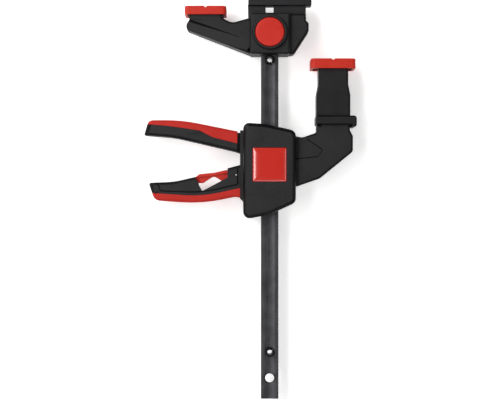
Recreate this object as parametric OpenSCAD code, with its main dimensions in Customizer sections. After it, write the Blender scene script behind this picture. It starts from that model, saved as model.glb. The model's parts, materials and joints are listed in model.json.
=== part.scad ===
// Quick release bar clamp lying on its back, seen from above (+Z).
// The bar runs along +Y to the fixed jaw. The origin is the hanging hole at the bar's free end.

/* [Bar] */
// Length of the flat steel bar
bar_len = 307.6; // [260:0.1:420]
// Width of the bar
bar_w = 14; // [12:0.1:14.6]
// Thickness of the bar
bar_t = 6; // [5:0.1:6.4]
// Width of the shallow flute along each wide face
flute_w = 8; // [5:0.1:9]
// Depth of the flute
flute_depth = 0.5; // [0.2:0.05:0.8]
// Distance from a hole's centre to the bar's end, at both ends
end_margin = 16.4; // [14:0.1:18]
// Radius of the hanging hole
end_hole_r = 3.65; // [2.5:0.05:4]
// Straight wall of the hanging hole, between its two countersinks
end_hole_wall = 4; // [2:0.1:4.4]
// Outer radius of the slotted stop pins
stop_pin_r = 3.5; // [2.5:0.1:4]
// Inner radius of the slotted stop pins
stop_pin_bore_r = 2; // [1.2:0.1:2.2]
// Length of the stop pins
stop_pin_len = 12; // [9:0.1:14]
// Distance from the hanging hole to the lower stop pin
lower_stop_y = 20.9; // [14:0.1:30]

/* [Fixed jaw] */
// Distance from the bar's centreline to the middle of each jaw pad
jaw_reach = 51; // [49:0.5:60]
// Width of the block that holds the bar's end
block_w = 31.6; // [30:0.2:34]
// Height of that block along the bar
block_h = 32.6; // [31:0.2:36]
// Thickness of that block
block_t = 26; // [25:0.2:30]
// Thickness of the fixed jaw's arm
fixed_arm_t = 18.8; // [16:0.2:19]
// Thickness of the neck that enters a rail's groove
rail_neck_t = 8; // [7:0.1:9]
// Height of the neck between the block and the rail plate
rail_neck_h = 6.5; // [5:0.1:9]
// Thickness of the rail plate along the bar
rail_plate_h = 5.2; // [3:0.1:7]
// Width of the rail plate across the groove
rail_plate_t = 12; // [10:0.1:14]
// Length of the rail plate
rail_plate_w = 50.4; // [49:0.2:51]

/* [Release button] */
// Radius of the button
button_r = 11.5; // [9:0.1:11.8]
// How far the button can be pressed
button_travel = 3.5; // [3.3:0.1:3.8]
// Height of the button's face above the block
button_stand = 3; // [2.5:0.1:4]
// Radial wall of the collar round the button
collar_wall = 2; // [1.2:0.1:2.2]
// Height of the collar above the block
collar_stand = 2.6; // [1:0.1:3.6]
// Radius of the latch pin's locking head
latch_r = 3.2; // [2.8:0.05:3.4]
// Radius of the latch pin's neck
latch_neck_r = 2.1; // [1.6:0.05:2.2]

/* [Pads] */
// Length of the fixed jaw's pad
fixed_pad_w = 33; // [32:0.2:36]
// Height of the fixed jaw's pad
fixed_pad_h = 6.7; // [6:0.1:9]
// Width of the fixed jaw's pad
fixed_pad_t = 24; // [24:0.2:28]
// Length of the moving jaw's pad
moving_pad_w = 35.5; // [34:0.1:36]
// Height of the moving jaw's pad
moving_pad_h = 7.8; // [7:0.1:10]
// Width of the moving jaw's pad
moving_pad_t = 26; // [25:0.2:30]
// Wall of a pad round its pocket
pad_wall = 2.3; // [1.8:0.1:2.4]
// Depth of the notch across a pad's face
pad_notch = 1.3; // [0.6:0.1:1.8]

/* [Moving jaw] */
// Distance from the hanging hole to the middle of the housing
carriage_y = 165; // [130:1:180]
// Width of the housing
housing_w = 41.6; // [41:0.2:44]
// Height of the housing along the bar
housing_h = 76.8; // [76:0.2:82]
// Thickness over both covers
housing_t = 35; // [34:0.2:40]
// Thickness of the jaw's core between the covers
core_t = 20.6; // [20.4:0.1:21.4]
// Thickness of the jaw's arm
moving_arm_t = 20.2; // [18:0.1:20.2]
// Rounding of the covers' outer edges
cover_round = 2.8; // [1.5:0.1:3]
// Height of the moving jaw's arm along the bar
arm_h = 50; // [49:0.5:54]
// Height of the plug-on adapter above the arm
adapter_h = 44.6; // [40:0.2:50]
// Height of the adapter's collar
collar_h = 7.3; // [7:0.1:9]
// Side of the square badge plate
badge_w = 26.6; // [20:0.2:28]

/* [Handles] */
// Distance from the bar's centreline to the lever's tip
handle_reach = 100; // [96:0.5:110]
// Height above the housing's middle to which the handles are drawn
handle_span = 50; // [49:0.5:52]
// Thickness of the drive lever
lever_t = 17; // [16.8:0.1:18]
// Thickness of the fixed handle
handle_t = 18.4; // [18:0.1:20]
// Thickness of the release trigger
trigger_t = 12; // [10:0.1:12.4]

/* [Mechanism] */
// Radius of the lever's pivot pin
lever_pin_r = 2.5; // [2:0.1:2.6]
// Radius of the trigger's pivot pin
trigger_pin_r = 1.5; // [1.2:0.1:1.6]
// Thickness of each drive plate
drive_plate_t = 2.4; // [1.8:0.1:2.5]
// Thickness of the brake plate
brake_plate_t = 3; // [2.4:0.1:3.1]
// Tilt of the brake plate while it grips the bar
brake_tilt = 4.5; // [3:0.5:5]
// Wire radius of the drive spring
drive_wire_r = 0.7; // [0.4:0.05:0.75]
// Wire radius of the brake spring
brake_wire_r = 0.5; // [0.35:0.05:0.55]

/* [Hidden] */

// Fineness of the drawing
round_fn = 64;
small_fn = 32;
flute_fn = 180;
corner_steps = 4;
edge_steps = 3;
coil_rings = 12;
coil_sides = 6;
over = 1;
face_trim = 0.02;
// Least share of its radius that a rounded corner keeps when an outline is drawn in
corner_floor_share = 0.05;

// Clearances
press_gap = 0.02;
pin_gap = 0.05;
seat_gap = 0.15;
slide_gap = 0.25;
rest_gap = 0.3;
run_gap = 0.4;

black = "#2b2b2d";
red = "#c8352b";
steel = "#8d9093";
dark_steel = "#3a3a3b";

// Bar and its pins
bar_top_y = bar_len - end_margin;
latch_y = bar_top_y - end_margin;
flute_r = flute_w * flute_w / (8 * flute_depth) + flute_depth / 2;
bar_edge_r = bar_t / 8;
pin_slit = stop_pin_r * 0.26;
pin_chamfer = stop_pin_r * 0.14;
lower_slit_turn = 40;
upper_slit_turn = -50;

// Fixed jaw, about the latch
bar_proud = 0.9;
block_top_y = end_margin - bar_proud;
block_base_y = block_top_y - block_h;
upper_stop_y = latch_y + block_base_y - stop_pin_r - rest_gap;
plate_base_y = block_top_y + rail_neck_h;
rail_ledge = 1.3;
rail_overhang = 4.5;
plate_left_x = -block_w / 2 - rail_ledge;
neck_right_x = plate_left_x + rail_plate_w - rail_overhang;
window_w = 6.4;
window_chamfer = 1;
socket_top_y = end_margin + slide_gap;
bar_slot_w = bar_w + 2 * slide_gap;
bar_slot_t = bar_t + 2 * slide_gap;
block_round = 1.2;
block_corner_r = 1.6;
arm_round = 1.8;
plate_round = 0.8;
plate_corner_r = 0.9;
web_drop = 3.8;
wing_t = fixed_arm_t * 0.9;
face_fall = 1.2;
face_run = 1.5;

// Outline of the fixed jaw's arm, its top before and its foot after the head: x in jaw_reach,
// y and radius in block_h
arm_top_shares = [[-0.200, 0.398, 0], [-0.335, 0.359, 0], [-0.588, 0.248, 0.25]];
arm_foot_shares = [[-0.300, -0.518, 0.10], [-0.200, -0.520, 0]];
// The head under the pad: x in fixed_pad_w from the pad's middle
arm_head_shares = [
    [0.406, 0.365, 0.06], [0.406, 0.520, 0], [-0.391, 0.520, 0], [-0.391, 0.322, 0.03],
    [-0.461, 0.208, 0.09], [-0.461, 0.083, 0.10]];
// The part of the arm's face that falls away from the crease towards the tip
arm_face_shares = [
    [-0.250, -0.900, 0], [-0.250, -0.130, 0], [-0.480, -0.055, 0], [-1.240, 0.310, 0],
    [-1.500, 0.345, 0], [-1.500, -0.900, 0]];
arm_face_end_share = 0.4;
// Outline of the wing on the other side: x in block_w, y and radius in block_h
wing_shares = [
    [0.600, -0.524, 0.12], [0.981, 0.046, 0.12], [0.981, 0.245, 0.06], [0.911, 0.314, 0.03]];

// Button and latch
button_pocket_r = button_r + rest_gap;
collar_r = button_pocket_r + collar_wall;
collar_round = 0.6;
block_face_z = block_t / 2;
button_face_z = block_face_z + button_stand;
latch_roof = 2.35;
button_floor_z = bar_slot_t / 2 + latch_roof;
button_base_z = button_floor_z + button_travel + rest_gap;
button_crown = 2.6;
button_skirt = 1.6;
button_round = 0.8;
button_roof_z = button_face_z - button_crown;
latch_boss_wall = 1.7;
latch_boss_r = latch_neck_r + latch_boss_wall;
latch_tip_z = button_roof_z + button_crown / 2;
latch_foot_t = 1.1;
latch_foot_r = latch_r + latch_boss_wall * 0.9;
latch_floor_z = -(block_face_z - button_travel - latch_foot_t - run_gap);
latch_foot_z = latch_floor_z - 2 * pin_gap;
latch_wire_r = 0.45;
latch_coil_r = button_r - button_skirt - latch_wire_r - run_gap;
latch_turns = 3;

// Pads
pad_rim = 1.4;
pad_taper = 0.35;
pad_corner_r = 3;
pad_round = 0.7;
fixed_pad_base_y = block_top_y - pad_rim * 0.8;

// Housing, about the carriage's own origin
core_half = core_t / 2;
cover_face_z = housing_t / 2;
housing_shares = [
    [-0.507, 0.500, 0.11], [-0.507, -0.500, 0.12], [0, -0.447, 1.44], [0.493, -0.324, 0.13],
    [0.493, 0.415, 0.13], [-0.072, 0.483, 1.44]];
core_lip = 0.6;
wall_x = housing_w * 0.567;
wall_top_y = housing_h * 0.423;
wall_foot_y = -housing_h * 0.282;
wall_fillet_r = 7;
wall_fillet_shares = [-0.495, -0.309];
wall_inner_x = housing_w * 0.4;
wall_corner_r = 1;
core_tail_share = 0.42;

// Handles, measured from the side wall
handle_len = handle_reach - wall_x;

// Drive lever
fork_gap = 0.6;
fork_in = bar_t / 2 + fork_gap;
cheek_wall = 2.3;
root_t = core_t - 2 * cheek_wall - 2 * run_gap;
lever_pivot = [housing_w * 0.288, housing_h * 0.26];
lever_eye_r = lever_pin_r * 2.2;
neck_x = wall_x + housing_w * 0.05;
lever_shares = [
    [-0.603, 0.815, 2.6], [-0.952, 0.814, 0.09], [-1.000, 0.570, 0.02], [-0.686, 0.536, 2.0]];
lever_tip_shares = [[-0.886, 0.900], [-1.065, 0.900], [-1.065, 0.500], [-0.969, 0.500]];
tip_step = 1.5;
lever_top_y = handle_span * 0.622;
lever_foot_y = handle_span * 0.286;
lever_grip_shares = [
    [0.047, 1.000, 0], [-1.065, 1.000, 0], [-1.065, 0.758, 0], [-0.738, 0.719, 1.2],
    [-0.418, 0.646, 0.1], [-0.287, 0.540, 0.24], [0.047, 0.413, 0]];
handle_round = 2.4;
lever_arm = 22;
lever_swing = 12;
lever_arm_half = lever_eye_r * 0.93;
nose_r = 2.4;
nose_at = [lever_pivot[0] - lever_arm, lever_pivot[1] - lever_eye_r - nose_r / 5];
fork_end_x = -bar_w / 2 - nose_r * 1.4;

// Drive plates and their spring
drive_top_y = nose_at[1] - nose_r - rest_gap;
plate_split = 0.1;
plate_side_wall = 7.85;
drive_plate_w = housing_w - 2 * plate_side_wall;
drive_foot_y = drive_top_y - 2 * drive_plate_t - plate_split;
mech_plate_t = core_t * 0.85;
coil_sag = 0.2;
bar_corner_r = norm([bar_w, bar_t]) / 2;
drive_coil_r = bar_corner_r + run_gap + coil_sag + drive_wire_r;
drive_spring_h = 12.4;
drive_turns = 3.5;
web_top_y = drive_foot_y - drive_spring_h;
web_t = 3;
web_foot_y = web_top_y - web_t;

// Release trigger
trigger_eye_r = trigger_pin_r * 2.3;
trigger_pivot = [bar_w / 2 + trigger_eye_r + run_gap, web_foot_y - trigger_eye_r - run_gap];
trigger_arm = 21;
trigger_nose_r = 1.5;
trigger_nose_at = [trigger_pivot[0] - trigger_arm,
    trigger_pivot[1] - trigger_eye_r + trigger_nose_r * 0.35];
trigger_swing = 4.5;
trigger_round = 0.8;
trigger_shares = [
    [-0.097, 0.030, 0.02], [-0.162, 0.016, 0], [-0.270, -0.022, 0.6], [-0.424, -0.044, 0.03],
    [-0.484, -0.112, 0.02], [-0.471, -0.180, 0.04], [-0.391, -0.190, 0.06],
    [-0.280, -0.080, 0.06], [-0.248, -0.100, 0.06], [-0.189, -0.156, 0.06],
    [-0.097, -0.160, 0]];
trigger_web_shares = [
    [-0.084, -0.016, 0], [-0.162, -0.030, 0], [-0.270, -0.066, 0.6], [-0.424, -0.090, 0],
    [-0.607, -0.100, 0], [-0.607, -0.300, 0], [-0.084, -0.300, 0]];
trigger_web_t = trigger_t * 0.7;
// Lower and upper edge of the shank outside the housing
shank_foot_shares = [[-0.117, -0.150], [0, -0.248]];
shank_top_shares = [[0, -0.160], [-0.070, -0.100], [-0.117, 0.010]];
shank_t = trigger_t * 0.95;

// Brake plate and its spring
brake_turn_r = brake_plate_t / 2;
brake_drop = 3.7;
brake_pivot = [trigger_pivot[0] + trigger_eye_r * 0.8,
    trigger_nose_at[1] - trigger_nose_r - brake_drop];
brake_reach = bar_w * 1.9;
brake_slot_w = bar_w + brake_plate_t * sin(brake_tilt) + 2 * slide_gap;
brake_coil_r = bar_corner_r + run_gap + coil_sag + brake_wire_r;
brake_spring_x = brake_coil_r + brake_wire_r;
brake_spring_top_y = brake_pivot[1] + (brake_pivot[0] - brake_spring_x) * tan(brake_tilt)
    - brake_turn_r / cos(brake_tilt) - pin_gap;
brake_spring_h = 4.7;
brake_turns = 2;
foot_web_y = brake_spring_top_y - brake_spring_h;

// Pockets in the core
pocket_left_x = -housing_w * 0.4;
eye_pocket_x = lever_pivot[0] + lever_eye_r + run_gap;
eye_pocket_y = lever_pivot[1] + lever_eye_r + run_gap;
plate_pocket_x = drive_plate_w / 2 + run_gap;
trigger_pocket_x = trigger_pivot[0] + trigger_eye_r + run_gap;
spring_pocket_x = brake_spring_x + run_gap;
slot_out_x = -housing_w * 0.8;
slot_in_x = -housing_w * 0.35;
slot_shoulder_x = -housing_w / 2;
lever_slot_foot_y = lever_foot_y - (wall_x + lever_pivot[0]) * sin(lever_swing) - 2 * run_gap;
lever_slot_inner_y = lever_pivot[1] + lever_arm_half + 2 * rest_gap;
lever_slot_top_y = lever_top_y + rest_gap;
trigger_slot_top_y = max(trigger_pivot[1] + trigger_eye_r, handle_span * shank_top_shares[0][1])
    + run_gap;
trigger_slot_foot_y = min(trigger_nose_at[1] - trigger_arm * sin(trigger_swing),
    handle_span * shank_foot_shares[1][1] - (wall_x + trigger_pivot[0]) * sin(trigger_swing)
    - run_gap);

// Fixed handle
handle_shares = [
    [-0.107, 0.058, 0.06], [-0.477, -0.093, 0], [-0.686, -0.166, 1.2], [-0.952, -0.182, 0.03],
    [-0.889, -0.464, 0.12], [-0.398, -0.516, 2.4], [-0.058, -0.408, 0.14]];
handle_top_y = handle_span * 0.12;
handle_foot_y = wall_foot_y;
handle_grip_shares = [
    [0.047, -0.249, 0], [-0.395, -0.399, 2.0], [-1.065, -0.328, 0], [-1.065, -0.800, 0],
    [0.047, -0.800, 0]];
panel_shares = [
    [-0.016, 0.400, 0], [-0.971, 0.400, 0], [-0.830, -0.322, 0.05], [-0.390, -0.348, 1.8],
    [-0.016, -0.216, 0.02]];
window_shares = [
    [-0.130, 0.300, 0], [-0.496, 0.300, 0], [-0.466, -0.104, 0.03], [-0.443, -0.150, 0.03],
    [-0.436, -0.214, 0.06], [-0.399, -0.318, 0.03], [-0.130, -0.100, 0.02]];
trigger_bay_shares = [[-0.518, -0.324], [0.047, -0.324], [0.047, 0.300], [-0.518, 0.300]];
handle_tip_shares = [[-0.919, 0], [-1.065, 0], [-1.065, -0.500], [-0.868, -0.500]];
groove_w = 1;
groove_depth = 1;
sight_hole_r = 0.65;
sight_hole_shares = [-0.043, -0.052];

// Covers, screws and badge
cover_pocket_h = 4.4;
cover_wall = 3;
boss_wall = 2.4;
cover_pin_h = 3;
screw_r = 1.5;
screw_head_r = 2.4;
screw_head_h = 2.2;
screw_drive_r = 1.3;
screw_shares = [[-0.375, 0.424], [0.313, 0.372], [-0.360, -0.410], [0.385, -0.052]];
badge_depth = 0.6;
badge_stand = 0.6;
badge_corner_r = 0.8;
badge_gap = 0.1;
badge_shares = [-0.007, 0.065];

// Moving jaw's arm: x in jaw_reach, y and radius in arm_h
moving_arm_shares = [
    [0.290, -0.290, 0], [0.776, -0.118, 0.16], [1.294, 0.312, 0.07], [1.294, 0.560, 0.06],
    [1.247, 0.650, 0.05], [1.247, 0.800, 0], [0.775, 0.800, 0], [0.775, 0.733, 0],
    [0.731, 0.733, 0], [0.731, 0.617, 0.05],
    [0.504, 0.536, 0.12], [0.290, 0.580, 0]];
// The sunk field on the arm's face beside the housing
arm_field_shares = [
    [0.300, 0.900, 0], [0.300, 0.176, 0], [0.758, 0.224, 0], [0.830, 0.345, 0],
    [0.590, 0.508, 0], [0.504, 0.900, 0]];
field_depth = 0.7;
field_run = 0.8;

// Adapter: x in jaw_reach, y and radius in collar_h
collar_shares = [
    [0.714, 1.000, 0.14], [0.714, 0, 0.14], [1.262, 0, 0], [1.280, -0.220, 0.12],
    [1.349, -0.220, 0.24], [1.349, 1.000, 0.30]];
collar_base_y = arm_h * 0.736;
adapter_nose_t = moving_arm_t + field_depth / 2;
collar_t = adapter_nose_t + 2 * seat_gap + 2 * pad_wall;
adapter_nose_left_x = jaw_reach * 0.758;
adapter_nose_right_x = jaw_reach * 1.303;
adapter_nose_top_y = collar_base_y + collar_h - pad_wall;
column_x = jaw_reach * 0.99;
column_foot_w = 27;
column_top_w = 23.7;
column_foot_y = collar_base_y + adapter_h * 0.53;
column_taper_y = collar_base_y + adapter_h * 0.717;
column_corner_r = 3;
column_t = core_t * 0.95;
moving_pad_base_y = collar_base_y + adapter_h;
moving_pad_x = jaw_reach * 0.983;

// Outlines

// Table of shares turned into corners [x, y, radius]
function sized(shares, wide, high) =
    [for (s = shares) [s[0] * wide, s[1] * high, s[2] * high]];

// Table of shares turned into plain points
function placed(shares, wide, high) = [for (s = shares) [s[0] * wide, s[1] * high]];

// The same two for the handles: x in handle_len from the side wall, y in handle_span
function handle_sized(shares) = [for (s = sized(shares, handle_len, handle_span))
    [s[0] - wall_x, s[1], s[2]]];

function handle_placed(shares) = [for (s = placed(shares, handle_len, handle_span))
    [s[0] - wall_x, s[1]]];

// Normal to the left of the edge from p to q
function left_normal(p, q) = let (d = [q[0] - p[0], q[1] - p[1]]) [-d[1], d[0]] / norm(d);

// Points of one corner of an anticlockwise outline, drawn in by inset
function corner_points(p, c, n, inset) =
    let (
        a = left_normal(p, c),
        b = left_normal(c, n),
        bend = (a + b) / (1 + a * b),
        turn = a[0] * b[1] - a[1] * b[0],
        way = turn < 0 ? -1 : 1,
        r = max(c[2] - way * inset, c[2] * corner_floor_share),
        mid = [c[0], c[1]] + bend * inset + bend * way * r,
        sweep = way * acos(max(-1, min(1, a * b))),
        start = atan2(a[1], a[0]))
    c[2] == 0 ? [[c[0], c[1]] + bend * inset] :
    [for (k = [0 : corner_steps]) let (t = start + sweep * k / corner_steps)
        mid - way * r * [cos(t), sin(t)]];

// Whole outline, its corners rounded
function outline(corners, inset = 0) =
    let (count = len(corners))
    [for (k = [0 : count - 1]) each corner_points(corners[(k + count - 1) % count], corners[k],
        corners[(k + 1) % count], inset)];

// Heights and insets of the layers of a slab with rounded edges
function slab_layers(low, high, round_low, round_high) = concat(
    round_low == 0 ? [[low, 0]] : [for (k = [0 : edge_steps]) let (t = 90 - 90 * k / edge_steps)
        [low + round_low * (1 - sin(t)), round_low * (1 - cos(t))]],
    round_high == 0 ? [[high, 0]] : [for (k = [0 : edge_steps]) let (t = 90 * k / edge_steps)
        [high - round_high * (1 - sin(t)), round_high * (1 - cos(t))]]);

// Loft of an outline through layers, each a height and an inset
module loft(corners, layers) {
    rings = [for (l = layers) [for (p = outline(corners, l[1])) [p[0], p[1], l[0]]]];
    count = len(rings[0]);
    last = len(rings) - 1;
    polyhedron(
        points = [for (ring = rings) each ring],
        faces = concat(
            [for (l = [0 : last - 1], k = [0 : count - 1])
                let (a = l * count + k, b = l * count + (k + 1) % count)
                each [[a, a + count, b], [a + count, b + count, b]]],
            [[for (k = [0 : count - 1]) k]],
            [[for (k = [count - 1 : -1 : 0]) last * count + k]]));
}

// Slab with its lower and upper edges rounded: a loft, a little too thick, trimmed to size
module slab(corners, low, high, round_low, round_high) {
    intersection() {
        loft(corners, slab_layers(low - face_trim, high + face_trim, round_low, round_high));
        translate([-bar_len, -bar_len, low]) cube([2 * bar_len, 2 * bar_len, high - low]);
    }
}

// The same slab, the same on both sides of the middle plane
module even_slab(corners, thick, round_edge) {
    slab(corners, -thick / 2, thick / 2, round_edge, round_edge);
}

// Cut of a given depth into a face at the origin's height, with sloping sides that run in
module sunk_cut(corners, depth, run) {
    slope = run / depth;
    intersection() {
        loft(corners, [[-depth - face_trim, run + slope * face_trim], [2 * over, -2 * slope * over]]);
        translate([-bar_len, -bar_len, -depth]) cube([2 * bar_len, 2 * bar_len, depth + over]);
    }
}

// Plain plate of an outline, the same on both sides of the middle plane
module even_plate(corners, thick) {
    translate([0, 0, -thick / 2]) linear_extrude(thick) polygon(outline(corners));
}

// Plain plate of points
module flat_plate(points, thick) {
    translate([0, 0, -thick / 2]) linear_extrude(thick) polygon(points);
}

// Box from x0 to x1 and y0 to y1, even about the middle plane
module span_box(x0, x1, y0, y1, thick) {
    translate([x0, y0, -thick / 2]) cube([x1 - x0, y1 - y0, thick]);
}

// Four corners of a rectangle, all with one radius
function rectangle(x0, x1, y0, y1, r) = [[x0, y0, r], [x1, y0, r], [x1, y1, r], [x0, y1, r]];

// Upright cylinder from z0 to z1
module post(r, z0, z1, fn = round_fn) {
    translate([0, 0, z0]) cylinder(r = r, h = z1 - z0, $fn = fn);
}

// Coil spring along z, as one tube
module coil(coil_r, wire_r, height, turns) {
    steps = turns * coil_rings;
    rise = height - 2 * wire_r;
    rings = [for (k = [0 : steps]) let (t = 360 * k / coil_rings)
        [for (s = [0 : coil_sides - 1]) let (u = 360 * s / coil_sides, r = coil_r + wire_r * cos(u))
            [r * cos(t), r * sin(t), wire_r + rise * k / steps + wire_r * sin(u)]]];
    polyhedron(
        points = [for (ring = rings) each ring],
        faces = concat(
            [[for (s = [0 : coil_sides - 1]) s]],
            [[for (s = [coil_sides - 1 : -1 : 0]) steps * coil_sides + s]],
            [for (k = [0 : steps - 1], s = [0 : coil_sides - 1])
                let (a = k * coil_sides + s, b = k * coil_sides + (s + 1) % coil_sides)
                each [[a, a + coil_sides, b + coil_sides], [a, b + coil_sides, b]]]));
}

// Puts what is drawn about the latch or the carriage in its place on the bar
module at_latch() {
    translate([0, latch_y, 0]) children();
}

module at_carriage() {
    translate([0, carriage_y, 0]) children();
}

// Bar

// Rounded section of the bar, pulled along y from the origin
module bar_blank() {
    rotate([-90, 0, 0]) linear_extrude(bar_len)
        polygon(outline(rectangle(-bar_w / 2, bar_w / 2, -bar_t / 2, bar_t / 2, bar_edge_r)));
}

// Countersink from the hole's straight wall to past the face
module countersink() {
    sink = bar_t / 2 - end_hole_wall / 2 + over;
    translate([0, 0, end_hole_wall / 2])
        cylinder(r1 = end_hole_r, r2 = end_hole_r + sink, h = sink, $fn = round_fn);
}

module bar() {
    color(dark_steel)
    difference() {
        translate([0, -end_margin, 0]) bar_blank();
        for (side = [-1, 1])
            translate([0, -end_margin - over, side * (bar_t / 2 - flute_depth + flute_r)])
                rotate([-90, 0, 0]) cylinder(r = flute_r, h = bar_len + 2 * over, $fn = flute_fn);
        post(end_hole_r, -bar_t, bar_t);
        countersink();
        mirror([0, 0, 1]) countersink();
        for (y = [lower_stop_y, upper_stop_y])
            translate([0, y, 0]) post(stop_pin_r + press_gap, -bar_t, bar_t);
        at_latch() {
            post(latch_r + pin_gap, -bar_t, bar_t);
            span_box(-latch_neck_r - 2 * pin_gap, latch_neck_r + 2 * pin_gap, 0,
                end_margin + over, 2 * bar_t);
        }
    }
}

// Slotted spring pin, with its slit turned to one side
module stop_pin(slit_turn) {
    color(steel)
    difference() {
        rotate_extrude($fn = round_fn) polygon([
            [0, -stop_pin_len / 2], [stop_pin_r - pin_chamfer, -stop_pin_len / 2],
            [stop_pin_r, pin_chamfer - stop_pin_len / 2],
            [stop_pin_r, stop_pin_len / 2 - pin_chamfer],
            [stop_pin_r - pin_chamfer, stop_pin_len / 2], [0, stop_pin_len / 2]]);
        post(stop_pin_bore_r, -stop_pin_len, stop_pin_len, small_fn);
        rotate([0, 0, slit_turn]) span_box(0, 2 * stop_pin_r, -pin_slit / 2, pin_slit / 2,
            stop_pin_len + 2 * over);
    }
}

module lower_stop_pin() {
    translate([0, lower_stop_y, 0]) stop_pin(lower_slit_turn);
}

module upper_stop_pin() {
    translate([0, upper_stop_y, 0]) stop_pin(upper_slit_turn);
}

// Fixed jaw

function fixed_arm_corners() = concat(sized(arm_top_shares, jaw_reach, block_h),
    [for (s = sized(arm_head_shares, fixed_pad_w, block_h)) [s[0] - jaw_reach, s[1], s[2]]],
    sized(arm_foot_shares, jaw_reach, block_h));

// Arm whose face falls away below a crease, more so towards the tip
module fixed_arm() {
    end_x = -jaw_reach * arm_face_end_share;
    difference() {
        even_slab(fixed_arm_corners(), fixed_arm_t, arm_round);
        for (side = [0, 1]) mirror([0, 0, side])
            translate([end_x, 0, fixed_arm_t / 2]) rotate([0, -atan(face_fall / (jaw_reach + end_x)), 0])
                translate([-end_x, 0, face_fall]) sunk_cut(
                    sized(arm_face_shares, jaw_reach, block_h), face_fall, face_run);
    }
}

// Wider head of an arm that a pad or an adapter grips, from y0 to y1
module jaw_nose(x0, x1, y0, y1, thick) {
    even_plate(rectangle(x0, x1, y0, y1, seat_gap * 2), thick);
}

module wing() {
    even_slab(concat([[block_w / 4, block_base_y, 0]], sized(wing_shares, block_w, block_h),
        [[neck_right_x, block_top_y, 0], [block_w / 4, block_top_y, 0]]), wing_t, arm_round);
}

// Neck and plate that slide into the groove of a guide rail
module rail_head() {
    span_box(plate_left_x, neck_right_x, block_top_y - web_drop, plate_base_y + plate_round,
        rail_neck_t);
    even_slab(rectangle(plate_left_x, plate_left_x + rail_plate_w, plate_base_y,
        plate_base_y + rail_plate_h, plate_corner_r), rail_plate_t, plate_round);
}

// Raised ring round the button
module button_collar() {
    rotate_extrude($fn = round_fn) polygon([
        [button_pocket_r, block_face_z - over], [collar_r, block_face_z - over],
        [collar_r, block_face_z + collar_stand - collar_round],
        [collar_r - collar_round, block_face_z + collar_stand],
        [button_pocket_r, block_face_z + collar_stand]]);
}

// Window above the bar's end, with its lower corners cut off
module bar_window() {
    half = window_w / 2;
    flat_plate([[-half + window_chamfer, block_top_y], [half - window_chamfer, block_top_y],
        [half, block_top_y + 2 * window_chamfer], [half, plate_base_y],
        [-half, plate_base_y], [-half, block_top_y + 2 * window_chamfer]], block_t);
}

module fixed_jaw() {
    pad_half = fixed_pad_w / 2 - pad_wall - seat_gap;
    color(black) at_latch()
    difference() {
        union() {
            even_slab(rectangle(-block_w / 2, block_w / 2, block_base_y, block_top_y,
                block_corner_r), block_t, block_round);
            fixed_arm();
            jaw_nose(-jaw_reach - pad_half, -jaw_reach + pad_half, fixed_pad_base_y + pad_rim,
                fixed_pad_base_y + fixed_pad_h - pad_wall - seat_gap,
                fixed_pad_t - 2 * pad_wall - 2 * seat_gap);
            wing();
            rail_head();
            button_collar();
        }
        span_box(-bar_slot_w / 2, bar_slot_w / 2, block_base_y - over, socket_top_y, bar_slot_t);
        bar_window();
        post(button_pocket_r, button_floor_z, block_face_z + over);
        post(latch_neck_r + pin_gap, 0, button_floor_z + over, small_fn);
        post(latch_r + pin_gap, -block_t, 0);
        post(latch_foot_r + rest_gap, -block_t, latch_floor_z);
    }
}

// Pad cap that opens downwards, with a notch across the middle of its face
module pad_cap(x, y, wide, high, thick) {
    half = wide / 2;
    notch_half = pad_notch * 1.25;
    color(red)
    difference() {
        translate([x, y, 0]) rotate([-90, 0, 0])
            slab(rectangle(-half, half, -thick / 2, thick / 2, pad_corner_r), 0, high, 0,
                pad_round);
        span_box(x - half + pad_wall, x + half - pad_wall, y - over, y + high - pad_wall,
            thick - 2 * pad_wall);
        translate([x, y + high, 0]) flat_plate([[-notch_half - over, over],
            [0, -pad_notch], [notch_half + over, over]], thick + 2 * over);
    }
}

module fixed_pad() {
    at_latch() pad_cap(-jaw_reach, fixed_pad_base_y, fixed_pad_w, fixed_pad_h, fixed_pad_t);
}

// Latch

module release_button() {
    color(red) at_latch()
    difference() {
        rotate_extrude($fn = round_fn) polygon([
            [0, button_base_z], [button_r, button_base_z],
            [button_r, button_face_z - button_round],
            [button_r - button_round, button_face_z], [0, button_face_z]]);
        difference() {
            post(button_r - button_skirt, button_base_z - over, button_roof_z);
            post(latch_boss_r, button_base_z - 2 * over, button_roof_z + over, small_fn);
        }
        post(latch_neck_r + press_gap, button_base_z - over, latch_tip_z, small_fn);
    }
}

module latch_pin() {
    color(steel) at_latch() {
        post(latch_neck_r, -press_gap, latch_tip_z, small_fn);
        post(latch_r, latch_foot_z - press_gap, 0);
        post(latch_foot_r, latch_foot_z - latch_foot_t, latch_foot_z);
    }
}

module latch_spring() {
    color(steel) at_latch() translate([0, 0, button_floor_z + pin_gap])
        coil(latch_coil_r, latch_wire_r, button_roof_z - button_floor_z - 2 * pin_gap,
            latch_turns);
}

// Moving jaw

function housing_corners() =
    [for (s = housing_shares) [s[0] * housing_w, s[1] * housing_h, s[2] * housing_w]];

// Core between the covers, with the side wall that carries the handles
module core_blank() {
    flat_plate(outline(housing_corners(), core_lip), core_t);
    even_plate([[-wall_inner_x, wall_top_y, 0], [-wall_x, wall_top_y, wall_corner_r],
        [-wall_x, wall_foot_y, 0],
        [wall_fillet_shares[0] * housing_w, wall_fillet_shares[1] * housing_h, wall_fillet_r],
        [wall_fillet_shares[0] * housing_w, -housing_h * core_tail_share, 0],
        [-wall_inner_x, -housing_h * core_tail_share, 0]], core_t);
}

// Arm with a sunk field beside the housing
module moving_arm() {
    difference() {
        even_slab(sized(moving_arm_shares, jaw_reach, arm_h), moving_arm_t, arm_round);
        for (side = [0, 1]) mirror([0, 0, side])
            translate([0, 0, moving_arm_t / 2])
                sunk_cut(sized(arm_field_shares, jaw_reach, arm_h), field_depth, field_run);
    }
}

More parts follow.
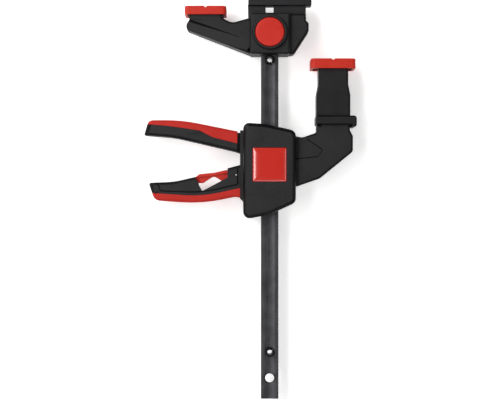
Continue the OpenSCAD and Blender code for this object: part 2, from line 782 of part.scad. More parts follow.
// Room for the lever, the plates, the trigger and the springs
module core_pockets() {
    deep = core_t + 2 * over;
    span_box(pocket_left_x, plate_pocket_x, web_top_y, eye_pocket_y, deep);
    span_box(0, eye_pocket_x, drive_top_y, eye_pocket_y, deep);
    span_box(pocket_left_x, trigger_pocket_x, brake_pivot[1] + brake_turn_r, web_foot_y, deep);
    span_box(pocket_left_x, brake_pivot[0], brake_pivot[1] - brake_turn_r - rest_gap,
        brake_pivot[1] + brake_turn_r + rest_gap, deep);
    translate(brake_pivot) post(brake_turn_r + pin_gap, -deep, deep, small_fn);
    span_box(-spring_pocket_x, spring_pocket_x, foot_web_y, brake_pivot[1], deep);
    flat_plate([[slot_out_x, wall_top_y + over], [slot_out_x, lever_slot_foot_y],
        [slot_in_x, lever_slot_foot_y], [slot_in_x, lever_slot_inner_y],
        [slot_shoulder_x, lever_slot_top_y], [slot_shoulder_x, wall_top_y + over]],
        root_t + 2 * run_gap);
    span_box(slot_out_x, slot_in_x, trigger_slot_foot_y, trigger_slot_top_y,
        trigger_t + 2 * run_gap);
    span_box(-bar_slot_w / 2, bar_slot_w / 2, -housing_h, housing_h, bar_slot_t);
}

module at_screws() {
    for (s = screw_shares) translate([s[0] * housing_w, s[1] * housing_h, 0]) children();
}

module moving_jaw() {
    color(black) at_carriage()
    difference() {
        union() {
            core_blank();
            moving_arm();
            jaw_nose(adapter_nose_left_x, adapter_nose_right_x, collar_base_y + pad_rim,
                adapter_nose_top_y - seat_gap, adapter_nose_t);
        }
        core_pockets();
        at_screws() post(screw_r + pin_gap, -core_t, core_t, small_fn);
    }
}

// Shell with bosses for the screws and the two pivot pins
module cover_shell() {
    difference() {
        slab(housing_corners(), core_half, cover_face_z, 0, cover_round);
        difference() {
            translate([0, 0, core_half - over]) linear_extrude(cover_pocket_h + over)
                polygon(outline(housing_corners(), cover_wall));
            at_screws() post(screw_r + boss_wall, 0, cover_face_z, small_fn);
            translate(lever_pivot) post(lever_pin_r + boss_wall, 0, cover_face_z, small_fn);
            translate(trigger_pivot) post(trigger_pin_r + boss_wall, 0, cover_face_z, small_fn);
        }
        translate(lever_pivot) post(lever_pin_r + press_gap, 0, core_half + cover_pin_h, small_fn);
        translate(trigger_pivot)
            post(trigger_pin_r + press_gap, 0, core_half + cover_pin_h, small_fn);
    }
}

module front_cover() {
    color(black) at_carriage()
    difference() {
        cover_shell();
        at_screws() post(screw_r + press_gap, 0, core_half + cover_pocket_h, small_fn);
        badge_outline(badge_gap, cover_face_z - badge_depth, cover_face_z + over, 0);
    }
}

module rear_cover() {
    color(black) at_carriage() mirror([0, 0, 1])
    difference() {
        cover_shell();
        at_screws() {
            post(screw_r + pin_gap, 0, housing_t, small_fn);
            post(screw_head_r + seat_gap, cover_face_z - screw_head_h - rest_gap, housing_t,
                small_fn);
        }
    }
}

// Square plate for the badge and for its recess
module badge_outline(grow, low, high, round_edge) {
    half = badge_w / 2 + grow;
    translate([badge_shares[0] * housing_w, badge_shares[1] * housing_h, 0])
        slab(rectangle(-half, half, -half, half, badge_corner_r), low, high, 0, round_edge);
}

module badge_plate() {
    color(red) at_carriage()
        badge_outline(0, cover_face_z - badge_depth, cover_face_z + badge_stand,
            badge_stand * 0.8);
}

module cover_screws() {
    seat_z = -(cover_face_z - screw_head_h - rest_gap);
    color(steel) at_carriage() at_screws()
    difference() {
        union() {
            post(screw_r, seat_z - press_gap, core_half + cover_pocket_h - seat_gap, small_fn);
            post(screw_head_r, seat_z - screw_head_h, seat_z, small_fn);
        }
        translate([0, 0, seat_z - screw_head_h - over])
            cylinder(r = screw_drive_r, h = over + screw_head_h / 2, $fn = 6);
    }
}

// Handles

// Whole form of the fixed handle, cut off at the housing's wall and hollowed for the trigger
module handle_form() {
    ends = [[over + handle_round - wall_x, handle_foot_y, 0],
        [over + handle_round - wall_x, handle_top_y, 0]];
    difference() {
        even_slab(concat(ends, handle_sized(handle_shares)), handle_t,
            handle_round);
        span_box(-wall_x, 0, -housing_h, housing_h, 2 * handle_t);
        flat_plate(handle_placed(trigger_bay_shares),
            trigger_t + 2 * run_gap);
    }
}

module handle_grip_field() {
    even_plate(handle_sized(handle_grip_shares), 2 * handle_t);
}

// Groove that sets the handle's inner panel off from its rim
module panel_groove() {
    corners = handle_sized(panel_shares);
    translate([0, 0, handle_t / 2 - groove_depth]) linear_extrude(groove_depth + over)
        difference() {
            polygon(outline(corners));
            polygon(outline(corners, groove_w));
        }
}

module fixed_handle() {
    color(black) at_carriage()
    difference() {
        handle_form();
        handle_grip_field();
        even_plate(handle_sized(window_shares), 2 * handle_t);
        panel_groove();
        mirror([0, 0, 1]) panel_groove();
        tip_cut(handle_tip_shares, handle_t);
        translate(handle_placed([sight_hole_shares])[0])
            post(sight_hole_r, -handle_t, handle_t, small_fn);
    }
}

module handle_grip() {
    color(red) at_carriage()
    intersection() {
        handle_form();
        handle_grip_field();
    }
}

// Whole form of the lever outside the housing
module lever_form() {
    ends = [[over + handle_round - neck_x, lever_foot_y, 0],
        [over + handle_round - neck_x, lever_top_y, 0]];
    difference() {
        even_slab(concat(ends, handle_sized(lever_shares)), lever_t,
            handle_round);
        span_box(-neck_x, 0, -housing_h, housing_h, 2 * lever_t);
    }
}

// Thinner step at the tip of a handle, on both faces
module tip_cut(shares, thick) {
    for (side = [0, 1]) mirror([0, 0, side])
        translate([0, 0, thick / 2 - tip_step]) linear_extrude(tip_step + over)
            polygon(handle_placed(shares));
}

module lever_grip_field() {
    even_plate(handle_sized(lever_grip_shares), 2 * lever_t);
}

// Flat root that enters the housing and forks round the bar to the pivot
module lever_root() {
    start_x = -neck_x - over;
    flat_plate([[start_x, lever_foot_y + over], [-wall_x, lever_foot_y],
        [nose_at[0] - 2 * nose_r, lever_foot_y], [nose_at[0], nose_at[1]],
        [lever_pivot[0], lever_pivot[1] - lever_arm_half],
        [lever_pivot[0], lever_pivot[1] + lever_arm_half],
        [pocket_left_x + nose_r, lever_pivot[1] + lever_arm_half],
        [core_lip - wall_x, lever_top_y - over / 2], [start_x, lever_top_y - over / 2]], root_t);
    translate(lever_pivot) post(lever_eye_r, -root_t / 2, root_t / 2);
    translate(nose_at) post(nose_r, -root_t / 2, root_t / 2, small_fn);
}

module drive_lever() {
    color(black) at_carriage()
    difference() {
        union() {
            difference() {
                lever_form();
                lever_grip_field();
                tip_cut(lever_tip_shares, lever_t);
            }
            lever_root();
        }
        span_box(fork_end_x, housing_w, 0, housing_h, 2 * fork_in);
        translate(lever_pivot) post(lever_pin_r + pin_gap, -root_t, root_t);
    }
}

module lever_grip() {
    color(red) at_carriage()
    difference() {
        intersection() {
            lever_form();
            lever_grip_field();
        }
        lever_root();
    }
}

module lever_pin() {
    color(steel) at_carriage() translate(lever_pivot)
        post(lever_pin_r, -core_half - cover_pin_h + seat_gap, core_half + cover_pin_h - seat_gap);
}

// Drive plates

module drive_plates() {
    color(steel) at_carriage()
    for (k = [1, 2]) translate([0, drive_top_y - k * drive_plate_t - (k - 1) * plate_split, 0])
        difference() {
            span_box(-drive_plate_w / 2, drive_plate_w / 2, 0, drive_plate_t, mech_plate_t);
            span_box(-bar_slot_w / 2, bar_slot_w / 2, -over, drive_plate_t + over, bar_slot_t);
        }
}

module drive_spring() {
    color(steel) at_carriage() translate([0, web_top_y + pin_gap, 0]) rotate([-90, 0, 0])
        coil(drive_coil_r, drive_wire_r, drive_spring_h - 2 * pin_gap, drive_turns);
}

// Release trigger and brake

// Finger bar with a thick upper lip over a thinner web
module finger_bar() {
    difference() {
        even_slab(handle_sized(trigger_shares), trigger_t, trigger_round);
        for (side = [0, 1]) mirror([0, 0, side])
            translate([0, 0, trigger_web_t / 2]) linear_extrude(trigger_t)
                polygon(outline(handle_sized(trigger_web_shares)));
    }
}

// Shank from the finger bar to the pivot, forked round the bar
module trigger_shank() {
    eye_top_y = trigger_pivot[1] + trigger_eye_r * 0.9;
    eye_foot_y = trigger_pivot[1] - trigger_eye_r * 0.9;
    flat_plate(concat(handle_placed(shank_foot_shares), [
        [trigger_nose_at[0] - trigger_nose_r, trigger_nose_at[1]],
        [trigger_nose_at[0], trigger_nose_at[1] - trigger_nose_r * 0.5],
        [trigger_pivot[0], eye_foot_y], [trigger_pivot[0], eye_top_y],
        [pocket_left_x, eye_top_y]], handle_placed(shank_top_shares)), shank_t);
    translate(trigger_pivot) post(trigger_eye_r, -shank_t / 2, shank_t / 2);
    translate(trigger_nose_at) post(trigger_nose_r, -shank_t / 2, shank_t / 2, small_fn);
}

module release_trigger() {
    color(red) at_carriage()
    difference() {
        union() {
            finger_bar();
            trigger_shank();
        }
        span_box(-bar_w / 2 - trigger_nose_r, housing_w, -housing_h, housing_h, 2 * fork_in);
        translate(trigger_pivot) post(trigger_pin_r + pin_gap, -trigger_t, trigger_t, small_fn);
    }
}

module trigger_pin() {
    color(steel) at_carriage() translate(trigger_pivot)
        post(trigger_pin_r, -core_half - cover_pin_h + seat_gap,
            core_half + cover_pin_h - seat_gap, small_fn);
}

// Plate that tilts about its round end and grips the bar
module brake_plate() {
    color(steel) at_carriage()
    difference() {
        translate(brake_pivot) rotate([0, 0, -brake_tilt]) {
            post(brake_turn_r, -mech_plate_t / 2, mech_plate_t / 2, small_fn);
            span_box(-brake_reach, 0, -brake_turn_r, brake_turn_r, mech_plate_t);
        }
        span_box(-brake_slot_w / 2, brake_slot_w / 2, -housing_h, 0, bar_slot_t);
    }
}

module brake_spring() {
    color(steel) at_carriage() translate([0, foot_web_y + pin_gap, 0]) rotate([-90, 0, 0])
        coil(brake_coil_r, brake_wire_r, brake_spring_h - 2 * pin_gap, brake_turns);
}

// Plug-on adapter and its pad

module jaw_adapter() {
    foot = column_foot_w / 2;
    top = column_top_w / 2;
    head_y = moving_pad_base_y + pad_rim;
    head_half = moving_pad_w / 2 - pad_wall - seat_gap;
    color(black) at_carriage()
    difference() {
        union() {
            translate([0, collar_base_y, 0])
                even_slab(sized(collar_shares, jaw_reach, collar_h), collar_t, block_round);
            translate([column_x, 0, 0]) even_slab([
                [-foot, collar_base_y + collar_h / 2, 0], [foot, collar_base_y + collar_h / 2, 0],
                [foot, column_foot_y, column_corner_r], [top, column_taper_y, column_corner_r],
                [top, head_y + over, 0], [-top, head_y + over, 0],
                [-top, column_taper_y, column_corner_r], [-foot, column_foot_y, column_corner_r]],
                column_t, arm_round);
            translate([moving_pad_x, 0, 0]) jaw_nose(-head_half, head_half, head_y,
                moving_pad_base_y + moving_pad_h - pad_wall - seat_gap,
                moving_pad_t - 2 * pad_wall - 2 * seat_gap);
        }
        span_box(adapter_nose_left_x - seat_gap, adapter_nose_right_x + seat_gap,
            collar_base_y - over, adapter_nose_top_y, adapter_nose_t + 2 * seat_gap);
    }
}

module moving_pad() {
    at_carriage() pad_cap(moving_pad_x, moving_pad_base_y, moving_pad_w, moving_pad_h,
        moving_pad_t);
}

bar();
lower_stop_pin();
upper_stop_pin();
fixed_jaw();
fixed_pad();
release_button();
latch_pin();
latch_spring();
moving_jaw();
front_cover();
rear_cover();
badge_plate();
cover_screws();
fixed_handle();
handle_grip();
drive_lever();
lever_grip();
lever_pin();
drive_plates();
drive_spring();
release_trigger();
trigger_pin();
brake_plate();
brake_spring();
jaw_adapter();
moving_pad();
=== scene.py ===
# %% [markdown]
# # A one-handed quick release bar clamp
# The clamp lies on its back: a flat steel bar, a fixed jaw with a guide rail plate at its top end,
# and a sliding jaw with a drive lever, a release trigger and a plug-on adapter. Its solids come
# from CAD and stay where they are. This script dresses them: it makes the finishes, gives the
# solids skins with rounded edges, domes the badge, gives the springs smooth merged copies,
# and sets the floor, the light and the camera.

# %% Load the imported model
import json
from math import radians

import bmesh
import bpy
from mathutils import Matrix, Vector


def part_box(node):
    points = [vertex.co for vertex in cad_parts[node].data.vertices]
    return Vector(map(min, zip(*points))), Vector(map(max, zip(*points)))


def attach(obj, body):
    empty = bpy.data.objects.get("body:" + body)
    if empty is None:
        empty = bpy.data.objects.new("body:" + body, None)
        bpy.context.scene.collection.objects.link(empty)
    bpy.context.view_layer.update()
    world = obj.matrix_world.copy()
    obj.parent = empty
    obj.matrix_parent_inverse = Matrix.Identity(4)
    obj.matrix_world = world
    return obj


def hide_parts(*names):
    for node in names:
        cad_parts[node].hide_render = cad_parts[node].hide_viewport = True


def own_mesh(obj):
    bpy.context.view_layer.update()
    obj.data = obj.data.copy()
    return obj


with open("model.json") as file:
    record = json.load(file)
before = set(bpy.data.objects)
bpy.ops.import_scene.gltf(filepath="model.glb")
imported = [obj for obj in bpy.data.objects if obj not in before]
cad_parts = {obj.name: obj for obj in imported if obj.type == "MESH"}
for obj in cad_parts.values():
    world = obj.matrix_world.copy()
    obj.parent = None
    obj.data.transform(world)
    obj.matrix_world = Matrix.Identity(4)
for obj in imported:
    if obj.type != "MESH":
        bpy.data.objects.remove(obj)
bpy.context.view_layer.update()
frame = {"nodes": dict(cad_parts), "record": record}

nodes = frame["nodes"]
MM = 0.001
print("Nodes:", len(nodes))

# %% [markdown]
# ## Colours and a helper for nodes
# Paint charts give colours as sRGB hex values, while Blender's sockets want linear light, so one
# function turns the first into the second. A second small function adds any shader node, sets its
# fields and fills or links its inputs, which keeps each material short enough to read.

# %% Colour and node helpers
def linear(hex_code):
    parts = [int(hex_code[k:k + 2], 16) / 255 for k in (1, 3, 5)]
    light = [c / 12.92 if c <= 0.04045 else ((c + 0.055) / 1.055) ** 2.4 for c in parts]
    return (*light, 1.0)


def add(tree, kind, inputs=None, **fields):
    node = tree.nodes.new(kind)
    for name, value in fields.items():
        setattr(node, name, value)
    for name, value in (inputs or {}).items():
        if isinstance(value, bpy.types.NodeSocket):
            tree.links.new(value, node.inputs[name])
        else:
            node.inputs[name].default_value = value
    return node


def start_material(name):
    material = bpy.data.materials.new(name)
    material.use_nodes = True
    material.node_tree.nodes.clear()
    return material, material.node_tree


print("A dark nylon's linear colour:", [round(c, 4) for c in linear("#1b1b1d")])

# %% [markdown]
# ## Moulded plastics
# Jaws, covers and handles of such clamps are nylon with short glass fibres, moulded in a
# spark-eroded tool, so their skin has a fine dull grain and a faint cloudiness instead of a gloss.
# The red grips and pads are a softer elastomer with the same grain, and the button and trigger
# are a smoother nylon. They differ in numbers only, so one function makes them all. Real grain of
# 0.3 mm is finer than a pixel of the photograph and is drawn about three times as coarse. A seam,
# where two halves of the mould met, is a fine raised line at half the piece's thickness.

# %% Moulded plastic finishes
seam_height = 1.6    # in units of the grain's own height
soft_share = 0.15    # of the light that sinks into an elastomer


def moulded_plastic(name, dark, light, grain_mm, cloud_mm, rough, relief_mm, ior, depth_mm=0.0,
                    seam_mm=0.0, shine=0.25):
    material, tree = start_material(name)
    place = add(tree, "ShaderNodeTexCoord").outputs["Object"]
    grain = add(tree, "ShaderNodeTexNoise", {"Vector": place, "Scale": 1000 / grain_mm,
        "Detail": 3.0, "Roughness": 0.6}).outputs["Fac"]
    cloud = add(tree, "ShaderNodeTexNoise", {"Vector": place, "Scale": 1000 / cloud_mm,
        "Detail": 4.0, "Roughness": 0.55}).outputs["Fac"]
    mottle = add(tree, "ShaderNodeMath", {0: grain, 1: cloud}, operation="ADD").outputs[0]
    tone = add(tree, "ShaderNodeMapRange", {"Value": mottle, "From Min": 0.72, "From Max": 1.28})
    colour = add(tree, "ShaderNodeMix", {0: tone.outputs[0], 6: linear(dark), 7: linear(light)},
        data_type="RGBA").outputs[2]
    gloss = add(tree, "ShaderNodeMapRange", {"Value": cloud, "From Min": 0.3, "From Max": 0.7,
        "To Min": rough[0], "To Max": rough[1]}).outputs[0]
    height = grain
    if seam_mm:
        along = add(tree, "ShaderNodeSeparateXYZ", {0: place}).outputs["Z"]
        off = add(tree, "ShaderNodeMath", {0: along}, operation="ABSOLUTE").outputs[0]
        fin = add(tree, "ShaderNodeMapRange", {"Value": off, "From Min": 0.5 * seam_mm * MM,
            "From Max": seam_mm * MM, "To Min": seam_height, "To Max": 0.0},
            interpolation_type="SMOOTHSTEP").outputs[0]
        height = add(tree, "ShaderNodeMath", {0: grain, 1: fin}, operation="ADD").outputs[0]
    bump = add(tree, "ShaderNodeBump", {"Height": height, "Strength": 0.6,
        "Distance": relief_mm * MM}).outputs[0]
    shader = add(tree, "ShaderNodeBsdfPrincipled", {"Base Color": colour, "Roughness": gloss,
        "IOR": ior, "Specular IOR Level": shine, "Normal": bump,
        "Subsurface Weight": soft_share if depth_mm else 0.0,
        "Subsurface Scale": max(depth_mm, 0.1) * MM})
    add(tree, "ShaderNodeOutputMaterial", {"Surface": shader.outputs[0]})
    return material


# Black nylon with glass fibre: dull, a little cloudy, reflects softly at its edges
black_nylon = moulded_plastic("glass_filled_nylon_spark_grain", "#161618", "#242426",
    1.0, 14, (0.5, 0.62), 0.15, 1.53)
# The adapter is moulded apart, in a smoother tool: darker, with a seam round its middle
adapter_nylon = moulded_plastic("glass_filled_nylon_fine_grain", "#121214", "#1a1a1c",
    0.9, 12, (0.46, 0.56), 0.09, 1.53, seam_mm=0.35)
# Painted shade for radii and sunk floors: a darker, a little shinier nylon, so they look shaded
painted_shade_nylon = moulded_plastic("glass_filled_nylon_painted_shade", "#09090a", "#0e0e0f",
    0.9, 12, (0.3, 0.38), 0.02, 1.53, shine=0.15)
# Red nylon of the button and the trigger: smoother, with a satin shine
red_nylon = moulded_plastic("red_nylon_satin_moulded", "#c0281e", "#cc3025",
    1.2, 16, (0.34, 0.44), 0.03, 1.53)
# Red elastomer overmoulded on the handles: soft, matt, light sinks in a little
red_grip = moulded_plastic("thermoplastic_elastomer_overmoulded", "#b61e14", "#c2261b",
    1.1, 12, (0.48, 0.6), 0.05, 1.5, depth_mm=1.2, seam_mm=0.4)
# Red elastomer of the pad caps: as soft, with a slightly smoother skin
red_pad = moulded_plastic("thermoplastic_elastomer_pad", "#c02819", "#cc3020",
    1.1, 10, (0.42, 0.54), 0.04, 1.5, depth_mm=1.0, seam_mm=0.4)
plastics = (black_nylon, adapter_nylon, painted_shade_nylon, red_nylon, red_grip, red_pad)
print("Plastics:", [m.name for m in plastics])

# %% [markdown]
# ## Steels
# The bar is cold drawn flat steel with a black oxide coat: drawing leaves fine lines along it, and
# the oxide stays a dark, half dull metal. Its long edges are painted lighter: partly wear where the
# plates rub them, partly a painted highlight. Pins and springs are phosphated or plated wire and
# rod. The lines could be an anisotropic shine, but noise on Object coordinates that are stretched
# along one axis shows them from every side.

# %% Steel finishes
line_length_mm = 40
patch_mm = 9
edge_fade_mm = 0.7


def drawn_steel(name, dark, light, line_mm, rough, along="Y", worn_and_lit_edges=None):
    material, tree = start_material(name)
    place = add(tree, "ShaderNodeTexCoord").outputs["Object"]
    lengths = [line_length_mm if axis == along else line_mm for axis in "XYZ"]
    stretched = add(tree, "ShaderNodeMapping", {"Vector": place,
        "Scale": tuple(1000 / length for length in lengths)}).outputs[0]
    lines = add(tree, "ShaderNodeTexNoise", {"Vector": stretched, "Scale": 1.0, "Detail": 3.0,
        "Roughness": 0.65}).outputs["Fac"]
    patches = add(tree, "ShaderNodeTexNoise", {"Vector": place, "Scale": 1000 / patch_mm,
        "Detail": 4.0}).outputs["Fac"]
    mottle = add(tree, "ShaderNodeMath", {0: lines, 1: patches}, operation="ADD").outputs[0]
    tone = add(tree, "ShaderNodeMapRange", {"Value": mottle, "From Min": 0.75, "From Max": 1.25})
    colour = add(tree, "ShaderNodeMix", {0: tone.outputs[0], 6: linear(dark), 7: linear(light)},
        data_type="RGBA").outputs[2]
    # Lighter long edges: partly rubbed wear, partly a painted highlight
    if worn_and_lit_edges:
        bare_and_highlight, from_mm = worn_and_lit_edges
        side = add(tree, "ShaderNodeSeparateXYZ", {0: place}).outputs["X"]
        off = add(tree, "ShaderNodeMath", {0: side}, operation="ABSOLUTE").outputs[0]
        near = add(tree, "ShaderNodeMapRange", {"Value": off, "From Min": from_mm * MM,
            "From Max": (from_mm + edge_fade_mm) * MM}).outputs[0]
        wear_and_highlight = add(tree, "ShaderNodeMath", {0: near, 1: patches}, operation="MULTIPLY").outputs[0]
        colour = add(tree, "ShaderNodeMix", {0: wear_and_highlight, 6: colour, 7: linear(bare_and_highlight)},
            data_type="RGBA").outputs[2]
    gloss = add(tree, "ShaderNodeMapRange", {"Value": lines, "From Min": 0.3, "From Max": 0.7,
        "To Min": rough[0], "To Max": rough[1]}).outputs[0]
    bump = add(tree, "ShaderNodeBump", {"Height": lines, "Strength": 0.4,
        "Distance": 0.01 * MM}).outputs[0]
    shader = add(tree, "ShaderNodeBsdfPrincipled", {"Base Color": colour, "Metallic": 1.0,
        "Roughness": gloss, "Normal": bump})
    add(tree, "ShaderNodeOutputMaterial", {"Surface": shader.outputs[0]})
    return material


# Black oxide on drawn flat steel: dark, lined along the bar, edges lighter from wear and painted
# highlight
bar_steel = drawn_steel("black_oxide_steel_drawn", "#3e3e40", "#545456", 0.5, (0.42, 0.56),
    worn_and_lit_edges=("#7a7b7d", 6.3))
# Phosphated spring steel of the slotted stop pins: nearly black, dull
pin_steel = drawn_steel("phosphated_spring_steel", "#232325", "#303032", 0.4, (0.45, 0.6),
    along="Z")
# Zinc plated steel of screws and pivots: pale, softly bright
plated_steel = drawn_steel("zinc_plated_steel_turned", "#a9acb0", "#c3c6ca", 0.4, (0.24, 0.36),
    along="Z")
# Drawn spring wire: bright, smooth
wire_steel = drawn_steel("spring_wire_drawn", "#8d9094", "#a4a7ab", 0.5, (0.26, 0.38))
# Hardened plates, stamped and tumbled: mid grey with an even satin shine
plate_steel = drawn_steel("hardened_plate_tumbled", "#7c7e82", "#94969a", 0.6, (0.3, 0.44),
    along="X")
steels = (bar_steel, pin_steel, plated_steel, wire_steel, plate_steel)
print("Steels:", [m.name for m in steels])

# %% [markdown]
# ## Domed resin
# The badge is a red label under a thick drop of clear polyurethane that sets with a curved edge.
# The colour lies under a smooth clear layer, so the shader gets a full coat over an even, slightly
# cloudy red. A glossy plastic without a coat would mix its shine with the colour's own roughness.

# %% Domed resin finish
resin_cloud_mm = 12


def domed_resin(name, dark, light):
    material, tree = start_material(name)
    place = add(tree, "ShaderNodeTexCoord").outputs["Object"]
    cloud = add(tree, "ShaderNodeTexNoise", {"Vector": place, "Scale": 1000 / resin_cloud_mm,
        "Detail": 3.0}).outputs["Fac"]
    colour = add(tree, "ShaderNodeMix", {0: cloud, 6: linear(dark), 7: linear(light)},
        data_type="RGBA").outputs[2]
    ripple = add(tree, "ShaderNodeBump", {"Height": cloud, "Strength": 0.3,
        "Distance": 0.05 * MM}).outputs[0]
    shader = add(tree, "ShaderNodeBsdfPrincipled", {"Base Color": colour, "Roughness": 0.3,
        "IOR": 1.5, "Coat Weight": 1.0, "Coat Roughness": 0.04, "Coat IOR": 1.5,
        "Coat Normal": ripple})
    add(tree, "ShaderNodeOutputMaterial", {"Surface": shader.outputs[0]})
    return material


# Clear polyurethane over a red label: an even strong red under a sharp, glassy shine
badge_resin = domed_resin("polyurethane_domed_over_red", "#c31a07", "#cb200c")
print("Badge:", badge_resin.name)

# %% [markdown]
# ## Which piece has which finish
# A finish goes into the material slots of the CAD object itself, which changes the look of a solid
# without touching its shape. One table keeps the whole choice in sight: black nylon for the body
# parts, red for what the hand presses or the work touches, steel for what carries force.

# %% Give every CAD node its finish
finishes = {
    "bar": bar_steel, "lower_stop_pin": pin_steel, "upper_stop_pin": pin_steel,
    "fixed_jaw": black_nylon, "moving_jaw": black_nylon, "front_cover": black_nylon,
    "rear_cover": black_nylon, "fixed_handle": black_nylon, "drive_lever": black_nylon,
    "jaw_adapter": adapter_nylon, "release_button": red_nylon, "release_trigger": red_nylon,
    "handle_grip": red_grip, "lever_grip": red_grip, "fixed_pad": red_pad, "moving_pad": red_pad,
    "badge_plate": badge_resin, "cover_screws": plated_steel, "lever_pin": plated_steel,
    "trigger_pin": plated_steel, "latch_pin": plated_steel, "latch_spring": wire_steel,
    "drive_spring": wire_steel, "brake_spring": wire_steel, "drive_plates": plate_steel,
    "brake_plate": plate_steel}
for name, finish in finishes.items():
    for slot in nodes[name].material_slots:
        slot.material = finish
print("Finished nodes:", len(finishes), "of", len(nodes))

# %% [markdown]
# ## Skins with softened edges
# A moulded part has no knife edges: each edge carries a small radius that catches a line of light.
# The CAD solids come as loose flat triangles, so each visible one gets a skin: a copy of its mesh
# with doubles merged and coplanar triangles dissolved, a narrow bevel on the sharp edges, and
# normals weighted by area, which keeps flat faces flat and lets the rounded ones shade smoothly.
# Subdivision would move the real surfaces, which have to stay where the CAD has them. On the black
# pieces the radius faces get the darker nylon in the second slot, as painted shade on the edges.

# %% Skins
body_of = {node: body for body, names in frame["record"]["behaviour"]["bodies"].items()
    for node in names}


def mesh_object(name, bm, material):
    mesh = bpy.data.meshes.new(name)
    bm.to_mesh(mesh)
    bm.free()
    mesh.shade_smooth()
    mesh.materials.append(material)
    piece = bpy.data.objects.new(name, mesh)
    bpy.context.scene.collection.objects.link(piece)
    return piece


def stand_for(piece, node):
    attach(piece, body_of[node])
    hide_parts(node)


merge_mm = 0.003
coplanar_within = radians(0.5)
sharp_from = radians(34)
# Sizes of a normal's Z: above the first a face is flat, below the second it is a side wall, and
# between them it leans by 10 to 83 degrees and belongs to a radius
flat_from = 0.985
upright_to = 0.12


def merged_copy(node):
    bm = bmesh.new()
    bm.from_mesh(nodes[node].data)
    bmesh.ops.remove_doubles(bm, verts=bm.verts, dist=merge_mm * MM)
    return bm


def skin(node, edge_mm):
    bm = merged_copy(node)
    bmesh.ops.dissolve_limit(bm, angle_limit=coplanar_within, verts=bm.verts, edges=bm.edges)
    bmesh.ops.triangulate(bm, faces=bm.faces, quad_method="BEAUTY", ngon_method="BEAUTY")
    piece = mesh_object(node + "_skin", bm, finishes[node])
    piece.data.set_sharp_from_angle(angle=sharp_from)
    # Painted shade: faces that lean, on the radii, get the darker nylon so rounded edges look
    # shaded
    if finishes[node] in (black_nylon, adapter_nylon):
        piece.data.materials.append(painted_shade_nylon)
        for face in piece.data.polygons:
            face.material_index = 1 if upright_to < abs(face.normal.z) < flat_from else 0
    bevel = piece.modifiers.new("softened_edges", "BEVEL")
    bevel.width = edge_mm * MM
    bevel.segments = 2
    bevel.limit_method = "ANGLE"
    bevel.angle_limit = sharp_from
    bevel.use_clamp_overlap = False
    even = piece.modifiers.new("flat_faces_flat", "WEIGHTED_NORMAL")
    even.keep_sharp = True
    stand_for(piece, node)
    return piece


edge_widths_mm = {"fixed_jaw": 0.3, "moving_jaw": 0.3, "front_cover": 0.25, "rear_cover": 0.25,
    "fixed_handle": 0.2, "drive_lever": 0.25, "handle_grip": 0.15, "lever_grip": 0.15,
    "release_trigger": 0.15, "release_button": 0.3, "jaw_adapter": 0.3, "fixed_pad": 0.25,
    "moving_pad": 0.25, "bar": 0.3}
skins = {node: skin(node, width) for node, width in edge_widths_mm.items()}
print("Faces per skin:", {node: len(piece.data.polygons) for node, piece in skins.items()})

# %% [markdown]
# ## Sunk floors of the handles
# The handle and the lever have a groove and a thin end that lie lower than their faces. Their
# floors get the darker nylon of the radii: painted shade in the groove, and a darker thin end.
# The skins already carry that finish in their second slot, so the floors are picked out by their
# height and moved to it, where a painted mask would blur along the step.

# %% Darker floors of the steps and grooves
sunk_from = 0.9 * MM
level_from = 0.9
for node in ("drive_lever", "fixed_handle"):
    face_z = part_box(node)[1].z
    sunk = [face for face in skins[node].data.polygons if abs(face.normal.z) > level_from
        and abs(face.center.z) < face_z - sunk_from]
    # Painted shade on the groove floors; the thin ends turn darker as well
    for face in sunk:
        face.material_index = 1
    print(node, "faces on sunk floors:", len(sunk), "face at z %.2f mm" % (face_z / MM))

# %% [markdown]
# ## The springs
# Three wire springs push back the button, the drive plates and the brake plate, and get shorter
# when those move. Bones or a lattice could bend them, but the coils of a compression spring close
# evenly. Here each spring gets a merged copy with smooth coils, which rides with its body and has
# a mesh of its own.

# %% Springs
wire_sharp_from = radians(50)


def squeezed_spring(node):
    coils = mesh_object(node + "_coils", merged_copy(node), wire_steel)
    coils.data.set_sharp_from_angle(angle=wire_sharp_from)
    stand_for(coils, node)
    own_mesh(coils)


squeezed_spring("latch_spring")
squeezed_spring("drive_spring")
squeezed_spring("brake_spring")

# %% [markdown]
# ## The domed badge
# The drop of resin stands a little over the cover, nearly flat in the middle and falling off in a
# curve within a few millimetres of its edge. One square face is bevelled at its corners, pulled up,
# and then pulled up again and again, each ring a little smaller. The rings are listed one by one:
# the wide one leans by 12 degrees, and that is the lean at which the long box on the left is
# mirrored.

# %% Domed badge
low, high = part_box("badge_plate")
middle = (low + high) / 2
half = (high.x - low.x) / 2
corner_mm = 1.0
wall_below_mm = 0.5
dome = bmesh.new()
bmesh.ops.create_grid(dome, x_segments=1, y_segments=1, size=half)
bmesh.ops.bevel(dome, geom=dome.verts[:], affect="VERTICES", offset=corner_mm * MM, segments=5,
    profile=0.5, material=-1)
print("Corners and faces of the rounded square:", len(dome.verts), len(dome.faces))
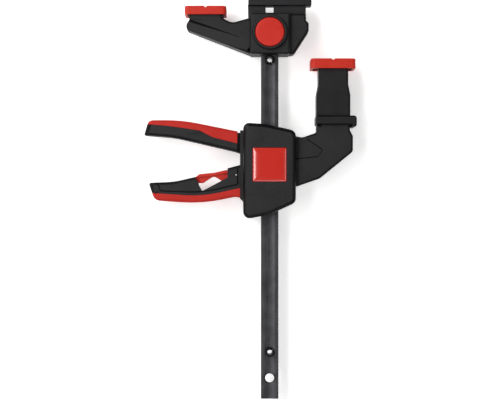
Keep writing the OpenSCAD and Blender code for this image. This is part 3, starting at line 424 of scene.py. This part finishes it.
# How far each ring draws in, and how far it rises
rings_mm = ((0.1, 0.12), (0.25, 0.14), (0.4, 0.13), (0.4, 0.10), (1.7, 0.37), (1.2, 0.10),
    (1.4, 0.05), (2.4, 0.03))
wall = bmesh.ops.extrude_face_region(dome, geom=dome.faces[:])["geom"]
bmesh.ops.translate(dome, vec=(0, 0, high.z - low.z - wall_below_mm * MM),
    verts=[v for v in wall if isinstance(v, bmesh.types.BMVert)])
top = [f for f in wall if isinstance(f, bmesh.types.BMFace)]
size = half
for drawn_in, rise in rings_mm:
    raised = bmesh.ops.extrude_face_region(dome, geom=top)["geom"]
    bmesh.ops.delete(dome, geom=top, context="FACES_ONLY")
    top = [f for f in raised if isinstance(f, bmesh.types.BMFace)]
    ring = list({v for f in top for v in f.verts})
    share = (size - drawn_in * MM) / size
    bmesh.ops.scale(dome, vec=(share, share, 1), verts=ring)
    bmesh.ops.translate(dome, vec=(0, 0, rise * MM), verts=ring)
    size -= drawn_in * MM
bmesh.ops.translate(dome, vec=(middle.x, middle.y, low.z), verts=dome.verts)
bmesh.ops.recalc_face_normals(dome, faces=dome.faces)
badge = mesh_object("badge_dome", dome, badge_resin)
stand_for(badge, "badge_plate")
dome_top = max(v.co.z for v in badge.data.vertices)
print("Dome's top over the plate's: %.2f mm" % ((dome_top - high.z) / MM))

# %% [markdown]
# ## Floor
# The clamp lies on a large white card, as in a catalogue picture. Strong light alone would make the
# card white but burn out the red pieces, so it also glows faintly, as a lit table does, and only
# soft shadows are left on it.

# %% Floor
floor_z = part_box("rear_cover")[0].z
floor_gap = 0.05 * MM
floor_half = 3.0
fibres_per_metre = 700.0
sheet = bmesh.new()
bmesh.ops.create_grid(sheet, x_segments=2, y_segments=2, size=floor_half)
bmesh.ops.translate(sheet, vec=(0, 0, floor_z - floor_gap), verts=sheet.verts)
# Uncoated white card: matt, a little fibrous, and it glows faintly so that it stays white
card, tree = start_material("matt_white_card")
place = add(tree, "ShaderNodeTexCoord").outputs["Object"]
fibre = add(tree, "ShaderNodeTexNoise", {"Vector": place, "Scale": fibres_per_metre,
    "Detail": 3.0}).outputs["Fac"]
tone = add(tree, "ShaderNodeMix", {0: fibre, 6: linear("#f4f4f3"), 7: linear("#fafaf9")},
    data_type="RGBA").outputs[2]
shader = add(tree, "ShaderNodeBsdfPrincipled", {"Base Color": tone, "Roughness": 0.9,
    "Emission Color": linear("#ffffff"), "Emission Strength": 0.5})
add(tree, "ShaderNodeOutputMaterial", {"Surface": shader.outputs[0]})
floor = mesh_object("floor", sheet, card)
print("Floor at z = %.2f mm" % (floor_z / MM))

# %% [markdown]
# ## Light
# Four soft boxes stand well to the side, because one above the clamp would be mirrored in the
# badge's coat and in every flat face. The large key box at the upper left draws the light edges, a
# long narrow one follows the bar on the left, and weaker ones on the right and at the foot keep the
# far sides from going black. The sky is dim, which leaves the black nylon dark.

# %% Lights and sky
seen_centre = Vector((-0.0157, 0.1422, 0.0))


def soft_box(name, place, size, power):
    lamp = bpy.data.lights.new(name, "AREA")
    lamp.shape = "RECTANGLE"
    lamp.size, lamp.size_y = size
    lamp.energy = power
    box = bpy.data.objects.new(name, lamp)
    box.location = place
    box.rotation_euler = (seen_centre - Vector(place)).to_track_quat("-Z", "Y").to_euler()
    bpy.context.scene.collection.objects.link(box)


soft_box("key_box", (-0.70, 0.80, 0.95), (0.9, 0.6), 10.5)
soft_box("left_box", (-0.48, 0.14, 1.05), (0.7, 0.2), 4.0)
soft_box("right_box", (0.70, 0.10, 1.05), (0.8, 0.3), 1.8)
soft_box("foot_box", (0.0, -0.65, 1.05), (0.8, 0.4), 3.4)
sky = bpy.data.worlds.new("pale_sky")
sky.use_nodes = True
glow = sky.node_tree.nodes["Background"]
glow.inputs["Color"].default_value = (1.0, 1.0, 1.0, 1.0)
glow.inputs["Strength"].default_value = 0.12
bpy.context.scene.world = sky
bpy.context.scene.view_settings.view_transform = "Standard"

# %% [markdown]
# ## Camera
# The photograph looks straight down on the clamp. A long lens a metre away gives its slight
# perspective, in which pieces that stand higher look a little larger. An orthographic camera would
# lose the side walls that show at the edges.

# %% Camera
camera_height = 1.0
lens = bpy.data.cameras.new("catalogue_camera")
lens.lens = 90
lens.sensor_width = 36
camera = bpy.data.objects.new("catalogue_camera", lens)
camera.location = seen_centre + Vector((0.0, 0.0, camera_height))
bpy.context.scene.collection.objects.link(camera)
bpy.context.scene.camera = camera
print("Camera:", tuple(round(c, 4) for c in camera.location), "lens", lens.lens, "mm")

# %% [markdown]
# ## Finish
# The view layer is brought up to date at the end.

# %% Finish
bpy.context.view_layer.update()
